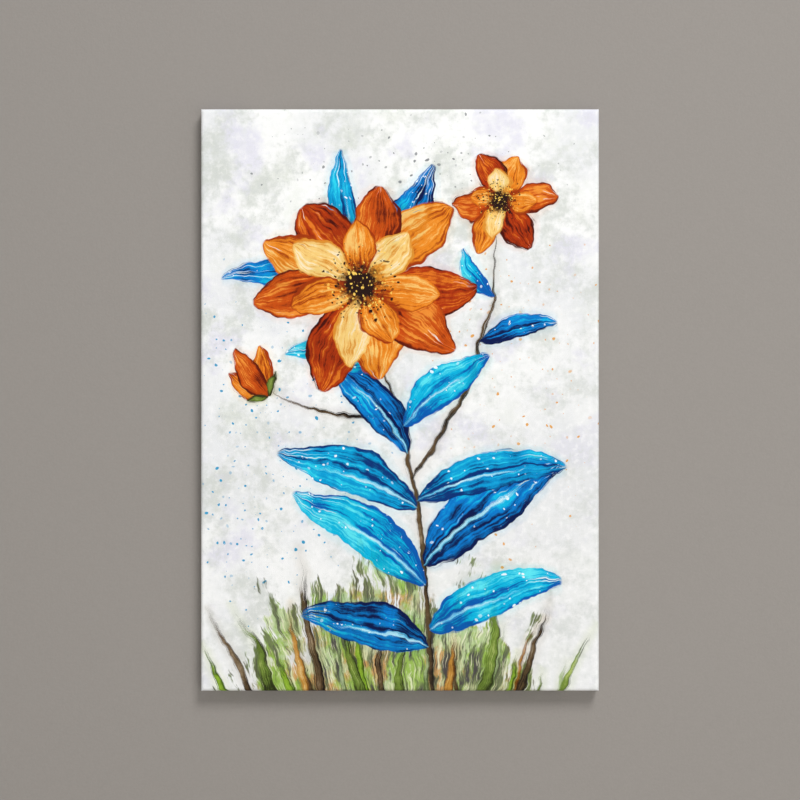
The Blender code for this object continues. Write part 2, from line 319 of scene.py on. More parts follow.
cloth = bmesh.new()
bmesh.ops.create_grid(cloth, x_segments=60, y_segments=84, size=1.0)
reach_layer = cloth.verts.layers.float.new("reach")
for vertex in cloth.verts:
    vertex.co = (grid_spread(vertex.co.x) * FLAT_X, FACE_Y, grid_spread(vertex.co.y) * FLAT_Z)
rim = [edge for edge in cloth.edges if edge.is_boundary]
outset_before = 0.0
for outset, y, reach in wrap_rings():
    grown = bmesh.ops.extrude_edge_only(cloth, edges=rim)["geom"]
    rim = [edge for edge in only(BMEdge, grown) if edge.is_boundary]
    wider = ((FLAT_X + outset) / (FLAT_X + outset_before), 1, (FLAT_Z + outset) / (FLAT_Z + outset_before))
    ring = only(BMVert, grown)
    bmesh.ops.scale(cloth, vec=wider, verts=ring)
    for vertex in ring:
        vertex.co.y = y
        vertex[reach_layer] = reach
    outset_before = outset

# the cloth's own map: metres from the middle of the picture, measured along the cloth
cloth_map = cloth.loops.layers.uv.new("cloth")
for face in cloth.faces:
    middle = face.calc_center_median()
    on_side = abs(middle.x) - FLAT_X > abs(middle.z) - FLAT_Z
    for loop in face.loops:
        co, reach = loop.vert.co, loop.vert[reach_layer]
        if reach == 0.0 and max(abs(middle.x) - FLAT_X, abs(middle.z) - FLAT_Z) < 0:
            loop[cloth_map].uv = (co.x, co.z)
        elif on_side:
            loop[cloth_map].uv = (math.copysign(FLAT_X + reach, middle.x), co.z)
        else:
            loop[cloth_map].uv = (co.x, math.copysign(FLAT_Z + reach, middle.z))
for vertex in cloth.verts:
    if vertex[reach_layer] == 0.0:
        vertex.co.y += face_relief(vertex.co.x, vertex.co.z)
    else:
        vertex.co.z += math.copysign(corner_lift(vertex.co, vertex[reach_layer]), vertex.co.z)

# the inner layer and the cut edge, and a flat layout for the baked finish: the printed layer
# large, the raw layer small beside it
RAW_LAYER = 0
RAW_SHRINK = 0.36
LAYOUT_SCALE = 0.49 / CUT_HALF_HEIGHT
grown = bmesh.ops.solidify(cloth, geom=cloth.faces[:], thickness=CLOTH_THICKNESS)["geom"]
raw_faces = set(only(BMFace, grown))
bake_map = cloth.loops.layers.uv.new("OFBake")
for face in cloth.faces:
    raw = face in raw_faces
    face.material_index = RAW_LAYER if raw else RAW_LAYER + 1
    face.smooth = True
    for loop in face.loops:
        u, v = LAYOUT_SCALE * loop[cloth_map].uv
        if raw:
            loop[bake_map].uv = (0.86 + RAW_SHRINK * u, 0.25 + RAW_SHRINK * v)
        else:
            loop[bake_map].uv = (0.01 + u + LAYOUT_SCALE * CUT_HALF_WIDTH, 0.5 + v)

# -----------------------------------------------------------------------------
# The print. A loose watercolour of orange flowers and blue leaves over a grassy bank, on a
# mottled white ground. One node group is the brush: each stroke takes the paint that lies
# under it and lays its own on top.

STROKE_SLACK = 0.06                 # how far the wobble and the halo may carry a stroke's edge
BELOW_EDGE = -0.80                  # where the strokes start that run off the bottom
FAN_LEVEL = -1.6                    # the grass fans out as if from this far down
GRASS_SEED = 3
PLANT_SEED = 7

# each ink, thin, full and pooled
CYAN = (ink(96, 234, 248), ink(0, 186, 228), ink(0, 92, 178))
AZURE = (ink(44, 214, 242), ink(0, 160, 218), ink(2, 52, 120))
COBALT = (ink(16, 194, 238), ink(0, 124, 208), ink(4, 24, 78))
ICE = (ink(225, 246, 252), ink(160, 225, 246), ink(70, 180, 230))
EMBER = (ink(232, 124, 34), ink(176, 54, 8), ink(74, 14, 4))
RUST = (ink(242, 150, 56), ink(202, 80, 14), ink(98, 24, 6))
AMBER = (ink(252, 205, 116), ink(238, 140, 34), ink(164, 58, 8))
CREAM = (ink(255, 242, 205), ink(250, 215, 130), ink(225, 150, 50))
MOSS = (ink(190, 205, 120), ink(120, 145, 60), ink(50, 55, 25))
BARK = (ink(170, 150, 120), ink(95, 75, 50), ink(30, 24, 20))
LIME = (ink(218, 230, 126), ink(150, 188, 56), ink(66, 92, 22))
STRAW = (ink(246, 216, 150), ink(208, 150, 66), ink(104, 60, 18))
SAGE = (ink(230, 235, 208), ink(180, 198, 150), ink(92, 110, 66))

# how the brush is loaded and pressed for each kind of stroke
GRASS_TOUCH = {"belly": 0.45, "cover": 0.8, "dry": 0.5}
BLADE_TOUCH = {"belly": 0.45, "cover": 0.7, "dry": 0.6}
STEM_TOUCH = {"belly": 0.5, "rim": 0.2, "hair": 0.8}
LEAF_TOUCH = {"cover": 0.8, "rim": 0.25, "rib": 0.40, "throat": 0.4}
VEIN_TOUCH = {"belly": 0.6, "cover": 1.0, "rim": 0.0, "dry": 0.5}
BUD_TOUCH = {"belly": 0.9, "rim": 0.5, "throat": 0.4, "dry": 0.1}
PETAL_TOUCH = {"belly": 1.25, "rim": 0.5, "rib": 0.1, "throat": 0.45, "dry": 0.1}

SPATTERS = (
    # (middle, spread, pitch of the drops, largest drop, how thick they fall, colour)
    ((-0.30, -0.12), (0.34, 0.60), 0.019, 0.0045, 0.8, ink(60, 160, 205)),
    ((0.30, 0.05), (0.30, 0.65), 0.021, 0.0042, 0.8, ink(228, 170, 96)),
    ((0.0, 0.60), (0.50, 0.22), 0.018, 0.0042, 0.6, ink(140, 144, 146)),
)
TUFT_INKS = (LIME, BARK, SAGE, STRAW, MOSS)
TUFT_BLADES = 18
TUFT_HALF_WIDTH = 0.40
TUFT_MIDDLE = -0.02
BLADES = (
    # (foot from the middle, lean from upright, length, half width, inks)
    (-0.30, 22, 0.34, 0.012, MOSS), (-0.19, 8, 0.46, 0.014, BARK), (-0.08, 14, 0.30, 0.016, MOSS),
    (0.17, -10, 0.42, 0.015, MOSS), (0.25, -20, 0.36, 0.012, BARK), (0.34, -30, 0.30, 0.010, MOSS),
)
BLOOM = (-0.10, 0.29)
SIDE_BLOOM = (0.25, 0.50)
BUD = (-0.33, 0.02)
STEM_FOOT = (0.07, BELOW_EDGE)
STEM_ARCH = -0.20
SIDE_STEM_ARCH = -0.35
SIDE_LEAVES = (
    # (share of the side stem, its turn from level, length, inks)
    (0.52, 10, 0.20, COBALT), (0.66, 118, 0.17, CYAN),
)
LEAVES = (
    # (share of the stem's height, its turn from level, length, half width, arch, inks)
    (0.16, 166, 0.34, 0.052, -0.30, COBALT), (0.20, 20, 0.36, 0.054, 0.35, CYAN),
    (0.30, 146, 0.42, 0.064, -0.28, CYAN), (0.35, 36, 0.44, 0.068, 0.30, COBALT),
    (0.48, 160, 0.38, 0.058, -0.34, AZURE), (0.50, 12, 0.40, 0.056, 0.28, AZURE),
    (0.60, 130, 0.34, 0.050, -0.25, COBALT), (0.66, 40, 0.30, 0.046, 0.30, CYAN),
    (0.80, 172, 0.26, 0.040, -0.35, CYAN), (1.00, 60, 0.36, 0.050, -0.22, COBALT),
    (1.00, 98, 0.34, 0.044, 0.24, AZURE), (1.00, 178, 0.35, 0.046, -0.30, COBALT),
)
BUD_PETALS = (
    # (its turn in radians, length, half width, inks), the last two its green sepals
    (1.75, 0.125, 0.030, AMBER), (2.75, 0.120, 0.028, AMBER), (2.30, 0.150, 0.036, RUST),
    (1.2, 0.06, 0.012, MOSS), (3.3, 0.06, 0.012, MOSS),
)
FLOWERS = (
    # (middle, size, its rings of petals from the back: (how many, length, half width, inks))
    (SIDE_BLOOM, 0.60, ((6, 0.22, 0.066, (RUST, AMBER, EMBER)), (4, 0.15, 0.05, (AMBER, CREAM)))),
    (BLOOM, 1.05, ((9, 0.26, 0.064, (EMBER, AMBER, RUST)), (7, 0.18, 0.047, (AMBER, CREAM)))),
)


def brush():
    """One stroke: a tapered, arched shape of streaky paint with a darker rim and a dry tip."""
    tree = bpy.data.node_groups.new("brush", "ShaderNodeTree")
    for kind, names in (("Vector", "Place Root"), ("Color", "Under Pale Body Deep"),
                        ("Float", "Wash Turn Length Width Arch Belly Cover Rim Hair Rib Throat Dry Seed")):
        for name in names.split():
            tree.interface.new_socket(name, in_out="INPUT", socket_type="NodeSocket" + kind)
    tree.interface.new_socket("Colour", in_out="OUTPUT", socket_type="NodeSocketColor")
    tree.interface.new_socket("Next", in_out="OUTPUT", socket_type="NodeSocketVector")
    s = Shader(tree)
    given = tree.nodes.new("NodeGroupInput").outputs
    painted = tree.nodes.new("NodeGroupOutput").inputs
    # u runs along the stroke from its root, v across it, from -1 to 1 between its edges
    back = s.maths("MULTIPLY", given["Turn"], -1.0)
    turn = {"Vector": given["Place"], "Center": given["Root"], "Angle": back}
    turned = s.add("VectorRotate", turn, rotation_type="Z_AXIS").outputs[0]
    along, across, _ = s.split(s.vectors("SUBTRACT", turned, given["Root"]))
    u = s.maths("DIVIDE", along, given["Length"], clamp=True)
    rise = s.maths("MULTIPLY", u, s.maths("SUBTRACT", 1.0, u))
    rise = s.maths("MULTIPLY", rise, s.maths("MULTIPLY", given["Arch"], given["Length"]))
    side = s.maths("SUBTRACT", across, rise)
    swell = s.maths("SINE", s.maths("MULTIPLY", s.maths("POWER", u, given["Belly"]), math.pi))
    half = s.maths("MULTIPLY", s.maths("POWER", swell, 0.75), given["Width"])
    v = s.maths("DIVIDE", side, s.maths("MAXIMUM", half, 0.001))
    hair_place = s.join(s.maths("MULTIPLY_ADD", u, 2.2, given["Seed"]), s.maths("MULTIPLY", v, 7.0))
    hair = s.cloud(hair_place, 1.0, 3.0, 0.62, flat=True)
    ragged = s.stir(s.maths("SUBTRACT", half, s.maths("ABSOLUTE", side)), hair, 0.016)
    ends = s.fade(swell, 0.02, 0.10)
    worn = s.maths("MULTIPLY", s.fade(u, 0.45, 1.0), given["Dry"])
    wet = s.fade(s.maths("SUBTRACT", hair, worn), 0.18, 0.26)
    mask = s.maths("MULTIPLY", s.maths("MULTIPLY", s.fade(ragged, 0.0, 0.0025), wet), ends)
    halo = s.maths("MULTIPLY", s.fade(ragged, -0.022, 0.004, 0.0, 0.20), ends)
    # the pigment's depth: wash and streaks, the rim where it dried, the rib and the throat
    depth = s.stir(given["Wash"], hair, given["Hair"])
    depth = s.maths("MULTIPLY_ADD", s.fade(ragged, 0.002, 0.011, 1.0, 0.0), given["Rim"], depth)
    rib = s.fade(s.maths("ABSOLUTE", v), 0.02, 0.22, 1.0, 0.0)
    depth = s.maths("MULTIPLY_ADD", rib, given["Rib"], depth)
    depth = s.maths("MULTIPLY_ADD", s.fade(u, 0.55, 0.05), given["Throat"], depth)
    depth = s.maths("MULTIPLY_ADD", v, -0.20, depth)
    paint = s.stain(given["Pale"], given["Body"], depth, 0.12, 0.52)
    paint = s.stain(paint, given["Deep"], depth, 0.55, 1.0)
    glazed = s.blend(1.0, given["Under"], paint, "MULTIPLY")
    laid = s.blend(given["Cover"], glazed, paint)
    under = s.blend(halo, given["Under"], s.blend(1.0, given["Under"], given["Pale"], "MULTIPLY"))
    s.put(painted["Colour"], s.blend(mask, under, laid))
    # paint that lies there drags the next stroke a hair's breadth off its line
    drag = s.maths("MULTIPLY", mask, 0.0003)
    s.put(painted["Next"], s.vectors("ADD", given["Place"], s.join(drag, drag)))
    return tree


BRUSH = brush()


def along_arc(foot, tip, arch, share):
    """A point on an arched stroke, at a share of its way from foot to tip."""
    reach = Vector(tip) - Vector(foot)
    rise = arch * share * (1 - share)
    return Vector(foot) + share * reach + rise * Vector((-reach.y, reach.x))


def heading(turn):
    return Vector((math.cos(turn), math.sin(turn)))


class Painting:
    """The print on one tile of cloth: the colour so far, and where its next stroke will land.

    Places are in metres from the middle of the picture. A stroke that can't reach the tile,
    (low x, high x, low y, high y), is left out of it."""

    def __init__(self, s, place, tile):
        self.s = s
        self.place = place
        self.tile = tile
        self.x, self.y, _ = s.split(place)
        self.patches = s.cloud(s.join(s.maths("ADD", self.x, 7.3), self.y), 8.0, 6.0, 0.66, flat=True)
        self.grain = s.cloud(place, 60.0, 3.0, 0.6, flat=True)
        self.colour = self.ground()
        # the hand's wobble and the pigment's washes, shared by all strokes
        self.wobble = place
        for pitch, reach in ((5.0, 0.05), (34.0, 0.012)):
            shake = s.cloud(place, pitch, 1.5, flat=True, out="Color")
            shake = s.vectors("SUBTRACT", shake, (0.5, 0.5, 0.5))
            self.wobble = s.vectors("MULTIPLY_ADD", shake, (reach, reach, 0.0), self.wobble)
        wash = s.maths("MULTIPLY_ADD", s.cloud(place, 11.0, 5.0, 0.62, flat=True), 1.5, -0.38)
        self.wash = s.maths("MULTIPLY_ADD", s.cloud(place, 420.0, 2.0, 0.6, flat=True), 0.22, wash)

    def ground(self):
        """White, clouded with cool grey, sage and lilac, a little darker to the lower right."""
        s = self.s
        clouds = s.cloud(self.place, 2.6, 3.0, 0.55, flat=True)
        tints = s.cloud(s.join(s.maths("ADD", self.x, 31.0), self.y), 6.0, 4.0, 0.6, flat=True)
        colour = s.stain(ink(252, 253, 252), ink(236, 238, 240), clouds, 0.40, 0.64)
        colour = s.stain(colour, ink(208, 213, 206), self.patches, 0.45, 0.68, 0.80)
        colour = s.stain(colour, ink(224, 223, 238), tints, 0.52, 0.70, 0.70)
        colour = s.stain(colour, ink(229, 234, 222), tints, 0.46, 0.30, 0.30)
        colour = s.stain(colour, ink(222, 223, 224), s.maths("SUBTRACT", self.x, self.y), -0.5, 1.0, 0.50)
        pitted = s.fade(self.patches, 0.38, 0.60, 0.10, 0.50)
        pitted = s.maths("MULTIPLY", s.fade(self.grain, 0.48, 0.32), pitted)
        colour = s.blend(pitted, colour, ink(212, 216, 213))
        return s.stain(colour, ink(255, 255, 255), self.grain, 0.50, 0.74, 0.40)

    def reached(self, middle, spread):
        """How far a place lies from a middle, where 1 is the edge of an oval of that spread."""
        away = self.s.vectors("SUBTRACT", self.place, (*middle, 0.0))
        away = self.s.vectors("DIVIDE", away, (*spread, 1.0))
        return self.s.add("VectorMath", {0: away}, operation="LENGTH").outputs["Value"]

    def spatter(self, pitch, size, likely, tint):
        """Drops up to a size, one to a cell of that pitch, where they are likely to fall."""
        s = self.s
        drops = s.cells(self.wobble, 1 / pitch)
        chance, weight, tone = s.split(drops["Color"])
        radius = s.maths("MULTIPLY", s.maths("POWER", weight, 2.5), size / pitch)
        drop = s.fade(s.maths("SUBTRACT", radius, drops["Distance"]), 0.0, 0.02)
        fallen = s.maths("GREATER_THAN", likely, chance)
        strength = s.maths("MULTIPLY", fallen, s.fade(tone, 0.0, 0.6, 0.35, 1.0))
        self.colour = s.blend(s.maths("MULTIPLY", drop, strength), self.colour, tint)

    def lay(self, foot, tip, width, arch, inks, belly=0.85, cover=0.9, rim=0.3, hair=1.6, rib=0.0,
            throat=0.2, dry=0.2):
        """Lays one stroke from foot to tip, if it can reach the tile."""
        seed = self.hand.uniform(0, 90)
        spine = [along_arc(foot, tip, arch, step / 8) for step in range(9)]
        room = width + STROKE_SLACK
        for axis in (0, 1):
            low, high = self.tile[2 * axis:2 * axis + 2]
            spots = [spot[axis] for spot in spine]
            if max(spots) + room < low or min(spots) - room > high:
                return
        reach = Vector(tip) - Vector(foot)
        inputs = {"Place": self.wobble, "Under": self.colour, "Wash": self.wash, "Root": (*foot, 0.0),
                  "Turn": math.atan2(reach.y, reach.x), "Length": reach.length, "Width": width,
                  "Arch": arch, "Belly": belly, "Cover": cover, "Rim": rim, "Hair": hair, "Rib": rib,
                  "Throat": throat, "Dry": dry, "Seed": seed,
                  "Pale": inks[0], "Body": inks[1], "Deep": inks[2]}
        self.colour, self.wobble = self.s.add("Group", inputs, node_tree=BRUSH).outputs


def paint_bank(sheet):
    """Streaks of green, ochre and brown that fan out like grass and run off the bottom."""
    s = sheet.s
    x, y, _ = s.split(sheet.wobble)
    fanned = s.join(s.maths("DIVIDE", x, s.maths("SUBTRACT", y, FAN_LEVEL)), y)
    streaks = s.cloud(s.vectors("MULTIPLY", fanned, (46.0, 8.0, 0.0)), 1.0, 5.0, 0.62, flat=True)
    bristles = s.cloud(s.vectors("MULTIPLY", fanned, (210.0, 14.0, 0.0)), 1.0, 4.0, 0.62, flat=True)
    clumps = s.cloud(s.join(sheet.x, s.maths("MULTIPLY_ADD", sheet.y, 0.6, 3.1)), 8.0, 4.0, 0.6, flat=True)
    bank = s.stir(sheet.reached((-0.02, -0.92), (0.40, 0.50)), clumps, 1.3)
    bank = s.stir(s.stir(bank, streaks, 0.50), bristles, -0.30)
    moss = s.stain(ink(146, 184, 52), ink(204, 152, 74), clumps, 0.44, 0.56)
    moss = s.stain(moss, ink(190, 208, 160), sheet.patches, 0.46, 0.56, 0.75)
    moss = s.stain(moss, ink(84, 100, 34), streaks, 0.52, 0.43, 0.90)
    shade = s.maths("MULTIPLY", s.fade(streaks, 0.44, 0.36), s.fade(bank, 0.90, 0.55))
    moss = s.blend(shade, moss, ink(30, 20, 10))
    moss = s.stain(moss, ink(232, 236, 196), streaks, 0.57, 0.68, 0.85)
    moss = s.stain(moss, ink(52, 40, 16), bristles, 0.56, 0.66, 0.80)
    moss = s.stain(moss, ink(244, 240, 206), bristles, 0.42, 0.34, 0.55)
    sheet.colour = s.stain(sheet.colour, s.blend(0.92, sheet.colour, moss), bank, 0.99, 0.90)


def paint_grass(sheet):
    """A tuft of mixed blades across the bank."""
    hand = sheet.hand = random.Random(GRASS_SEED)
    for index in range(TUFT_BLADES):
        share = (index * 5 % TUFT_BLADES + hand.uniform(0.2, 0.8)) / TUFT_BLADES
        foot = TUFT_HALF_WIDTH * (2 * share - 1) + TUFT_MIDDLE
        length = hand.uniform(0.22, 0.40) - 0.3 * abs(foot)
        tip = (foot + length * (1.1 * foot + hand.uniform(-0.16, 0.16)), BELOW_EDGE + length)
        sheet.lay((foot, BELOW_EDGE), tip, hand.uniform(0.007, 0.012), hand.uniform(-0.4, 0.4),
                  TUFT_INKS[index % len(TUFT_INKS)], **GRASS_TOUCH)


def paint_plant(sheet):
    """A few large blades, the stems, the leaves with a pale vein each, and the bud."""
    hand = sheet.hand = random.Random(PLANT_SEED)
    for foot, lean, length, width, inks in BLADES:
        tip = Vector((foot, BELOW_EDGE)) + length * heading(math.radians(90 + lean))
        sheet.lay((foot, BELOW_EDGE), tip, width, hand.uniform(-0.3, 0.3), inks, **BLADE_TOUCH)
    sheet.lay(STEM_FOOT, BLOOM, 0.009, STEM_ARCH, BARK, **STEM_TOUCH)
    fork = along_arc(STEM_FOOT, BLOOM, STEM_ARCH, 0.55)
    sheet.lay(fork, SIDE_BLOOM, 0.007, SIDE_STEM_ARCH, BARK, **STEM_TOUCH)
    for share, turn, length, inks in SIDE_LEAVES:
        foot = along_arc(fork, SIDE_BLOOM, SIDE_STEM_ARCH, share)
        tip = foot + length * heading(math.radians(turn))
        sheet.lay(foot, tip, 0.028, 0.3, inks, **LEAF_TOUCH)
    fork = along_arc(STEM_FOOT, BLOOM, STEM_ARCH, 0.68)
    sheet.lay(fork, (BUD[0] - 0.02, BUD[1] + 0.03), 0.006, 0.30, BARK, **STEM_TOUCH)
    for share, turn, length, width, arch, inks in LEAVES:
        foot = along_arc(STEM_FOOT, BLOOM, STEM_ARCH, share)
        reach = length * heading(math.radians(turn))
        sheet.lay(foot, foot + reach, width, arch, inks, **LEAF_TOUCH)
        sheet.lay(foot, foot + 0.8 * reach, 0.08 * width, 0.8 * arch, ICE, **VEIN_TOUCH)
    for turn, length, width, inks in BUD_PETALS:
        tip = Vector(BUD) + length * heading(turn)
        sheet.lay(BUD, tip, width, 0.1, inks, **BUD_TOUCH)


def paint_flower(sheet, middle, size, rings):
    """Petals, ring on ring, then a dark eye with its pollen and stamens."""
    s, hand = sheet.s, sheet.hand
    for petals, reach, width, inks in rings:
        for index in range(petals):
            turn = math.radians(360 / petals * index + hand.uniform(-9, 9))
            length = reach * size * hand.uniform(0.9, 1.1)
            tip = Vector(middle) + length * heading(turn)
            sheet.lay(middle, tip, width * size, hand.uniform(-0.25, 0.25), inks[index % len(inks)],
                      **PETAL_TOUCH)
    eye = s.stir(sheet.reached(middle, (0.052 * size, 0.052 * size)), sheet.grain, 1.2)
    sheet.colour = s.stain(sheet.colour, ink(38, 20, 16), eye, 1.15, 0.55)
    sheet.spatter(0.0085 * size, 0.0047 * size, s.fade(eye, 1.9, 0.7, 0.0, 0.95), ink(250, 206, 96))
    sheet.spatter(0.0080 * size, 0.0044 * size, s.fade(eye, 2.2, 0.9, 0.0, 0.9), ink(44, 20, 16))


def picture(s, place, tile):
    """Colour of the whole print, as one tile of the cloth needs it."""
    sheet = Painting(s, place, tile)
    for middle, spread, pitch, size, share, tint in SPATTERS:
        sheet.spatter(pitch, size, s.fade(sheet.reached(middle, spread), 1.0, 0.2, 0.0, share), tint)
    paint_bank(sheet)
    paint_grass(sheet)
    paint_plant(sheet)
    for middle, size, rings in FLOWERS:
        paint_flower(sheet, middle, size, rings)
    # white flecks on the blue
    red, _, blue = s.split(sheet.colour)
    on_blue = s.fade(s.maths("SUBTRACT", blue, red), 0.25, 0.6, 0.0, 0.22)
    sheet.spatter(0.010, 0.0042, on_blue, ink(238, 250, 255))
    return sheet.colour


# -----------------------------------------------------------------------------
# Cloth finishes. Outside, the weave shows through a matt white coating that takes the print and
# is bare past the print's end. Inside, the cotton is raw and cream, with flecks of husk.

WEAVE_PITCH = 0.0013
PRINT_OVERLAP = 0.004               # how far the print runs round the back
TILE_COLUMNS = (-0.17, 0.17)
TILE_ROWS = (-0.38, -0.02, 0.28)


def weave(s, place):
    """Height of a plain weave with uneven threads, 0 to 1, at a place on the cloth in metres."""
    x, y, _ = s.split(place)
    column, row = (s.maths("DIVIDE", part, WEAVE_PITCH) for part in (x, y))
    odd = s.maths("MODULO", s.maths("ADD", s.maths("FLOOR", column), s.maths("FLOOR", row)), 2.0)
    odd = s.maths("ABSOLUTE", odd)
    crown_x = s.maths("ABSOLUTE", s.maths("SINE", s.maths("MULTIPLY", column, math.pi)))
    crown_y = s.maths("ABSOLUTE", s.maths("SINE", s.maths("MULTIPLY", row, math.pi)))
    over = s.maths("MULTIPLY_ADD", odd, s.maths("SUBTRACT", crown_x, crown_y), crown_y)
    slub_x, slub_y = (s.cloud(s.vectors("MULTIPLY", place, stretch), 1.0, 1.0, flat=True)
                      for stretch in ((25.0, 700.0, 0.0), (700.0, 25.0, 0.0)))
    return s.maths("MULTIPLY_ADD", over, 0.5, s.maths("MULTIPLY", s.maths("MAXIMUM", slub_x, slub_y), 0.8))


def coated_cloth(name, tile=None):
    """White primed cloth, with one tile of the print on it where a tile is given."""
    material, s, body = finish(name, 0.62, specular=0.08)
    place = s.add("UVMap", uv_map="cloth").outputs[0]
    x, y, _ = s.split(place)
    threads = weave(s, place)
    colour = ink(240, 239, 234)
    if tile:
        past_end = s.maths("SUBTRACT", s.maths("ABSOLUTE", y), FLAT_Z + BACK_START + PRINT_OVERLAP)
        past_side = s.maths("SUBTRACT", s.maths("ABSOLUTE", x), FLAT_X + BACK_START + PRINT_OVERLAP)
        bare = s.fade(s.maths("MAXIMUM", past_end, past_side), 0.0, 0.0006)
        colour = s.blend(bare, picture(s, place, tile), colour)
    # painted shade: the colour is darkened in the hollows between the threads
    gap_shade = s.fade(threads, 0.60, 0.20, 0.0, 0.20)
    s.put(body.inputs["Base Color"], s.blend(gap_shade, colour, ink(112, 110, 105), "MULTIPLY"))
    s.put(body.inputs["Roughness"], s.fade(threads, 0.1, 0.8, 0.72, 0.55))
    s.put(body.inputs["Normal"], s.bump(threads, 0.00045))
    return material


def raw_cloth():
    """The unprimed inner side of the cloth."""
    material, s, body = finish("raw_canvas", 0.92, specular=0.2)
    place = s.add("UVMap", uv_map="cloth").outputs[0]
    threads = weave(s, place)
    mottle = s.cloud(place, 6.0, 4.0, 0.6, flat=True)
    colour = s.stain(ink(231, 223, 204), ink(226, 217, 197), mottle, 0.25, 0.80)
    # painted shade: the colour is darkened in the hollows between the threads
    colour = s.stain(colour, ink(168, 156, 132), threads, 0.6, 0.15, 0.35)
    # husk flecks, short and scattered, most of them lying along a thread
    for stretch, rare in (((180.0, 750.0, 1.0), 0.80), ((600.0, 200.0, 1.0), 0.84)):
        fleck = s.cells(s.vectors("MULTIPLY", place, stretch), 1.0)
        chance, weight, _ = s.split(fleck["Color"])
        inside = s.maths("SUBTRACT", s.maths("MULTIPLY", weight, 0.16), fleck["Distance"])
        husk = s.maths("MULTIPLY", s.fade(inside, 0.0, 0.05), s.maths("GREATER_THAN", chance, rare))
        colour = s.blend(s.maths("MULTIPLY", husk, 0.7), colour, ink(122, 98, 66))
    s.put(body.inputs["Base Color"], colour)
    s.put(body.inputs["Normal"], s.bump(threads, 0.0003))
    return material


def made_from(shape, name, *materials):
    """An object made from a finished bmesh."""
    mesh = bpy.data.meshes.new(name)
    shape.to_mesh(mesh)
    shape.free()
    made = bpy.data.objects.new(name, mesh)
    bpy.context.scene.collection.objects.link(made)
    dress(made, *materials)
    return made


# the print is worked out in tiles, so that a place is only asked about the strokes near it
tiles = {}
for face in cloth.faces:
    if face.material_index == RAW_LAYER:
        continue
    spots = [loop[cloth_map].uv.copy() for loop in face.loops]
    middle = sum(spots, Vector((0, 0))) / len(spots)
    column = sum(middle.x > line for line in TILE_COLUMNS)
    row = sum(middle.y > line for line in TILE_ROWS)
    face.material_index = RAW_LAYER + 1 + column + (len(TILE_COLUMNS) + 1) * row
    low, high = tiles.get(face.material_index, (spots[0], spots[0]))
    tiles[face.material_index] = (Vector(map(min, low, *spots)), Vector(map(max, high, *spots)))
finishes = [raw_cloth()]
for index in sorted(tiles):
    low, high = tiles[index]
    finishes.append(coated_cloth(f"printed_canvas_{index}", (low.x, high.x, low.y, high.y)))
canvas = made_from(cloth, "canvas", *finishes)
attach(canvas, "root")
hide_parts(*[name for name in nodes if name.startswith("canvas_")])

# -----------------------------------------------------------------------------
# Corner folds. Each corner's spare cloth is laid under the top or bottom edge, so that a flap
# with a slanting folded edge covers the mitre on the back.

FLAP_LENGTH = 0.044
FLAP_THICKNESS = 0.0011
FLAP_SUNK = 0.0002                  # pressed into the cloth under it
PRIMED = coated_cloth("primed_canvas")


def corner_flap(across, up):
    """One flap, laid out in its corner: x runs in along the end, z runs in down the side."""
    shape = bmesh.new()
    outline = ((0.0022, 0.0006), (FLAP_LENGTH, 0.0012), (FLAP_LENGTH - 0.006, TURNED_IN - 0.001),
               (TURNED_IN + 0.0015, TURNED_IN))
    shape.faces.new([shape.verts.new((x, 0, z)) for x, z in outline])
    bmesh.ops.subdivide_edges(shape, edges=shape.edges[:], cuts=7, use_grid_fill=True)
    map_layer = shape.loops.layers.uv.new("cloth")
    for face in shape.faces:
        for loop in face.loops:
            co = loop.vert.co
            loop[map_layer].uv = (CUT_HALF_WIDTH - TURNED_IN + co.x * 0.7, CUT_HALF_HEIGHT - co.z * 0.7)
    for vertex in shape.verts:
        crinkle = math.sin(vertex.co.x * 310 + 2 * up + across) * math.sin(vertex.co.z * 190)
        vertex.co.y = 0.0002 * crinkle
    bmesh.ops.solidify(shape, geom=shape.faces[:], thickness=FLAP_THICKNESS)
    low = min(vertex.co.y for vertex in shape.verts)
    bmesh.ops.translate(shape, vec=(-HALF_WIDTH, BACK_Y - FLAP_SUNK - low, -HALF_HEIGHT), verts=shape.verts)
    bmesh.ops.scale(shape, vec=(-across, 1, -up), verts=shape.verts)
    bmesh.ops.recalc_face_normals(shape, faces=shape.faces[:])
    name = f"fold_{'top' if up > 0 else 'bottom'}_{'right' if across > 0 else 'left'}"
    flap = made_from(shape, name, PRIMED)
    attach(flap, "root")
    soften(flap, width=0.0004)
    return flap


flaps = [corner_flap(across, up) for across in (-1, 1) for up in (-1, 1)]

# -----------------------------------------------------------------------------
# Staples. Galvanised wire driven through the turned-in cloth into the bars, a few fingers
# apart and each a little off its line.

STAPLE_PITCH = 0.045
STAPLE_LENGTH = 0.0100
STAPLE_WIDTH = 0.00125
STAPLE_WIRE = 0.0005
STAPLE_SUNK = 0.0008
STAPLE_BEND = 0.00055               # round each shoulder, where the wire turns down
STAPLE_LINE = 0.018                 # from the outer edge of the frame
STAPLE_FREE = 0.014                 # between the last staple and the corner's fold
FLAP_STAPLES = ((0.024, 0.0085), (0.035, 0.0165))
stapler = random.Random(31)


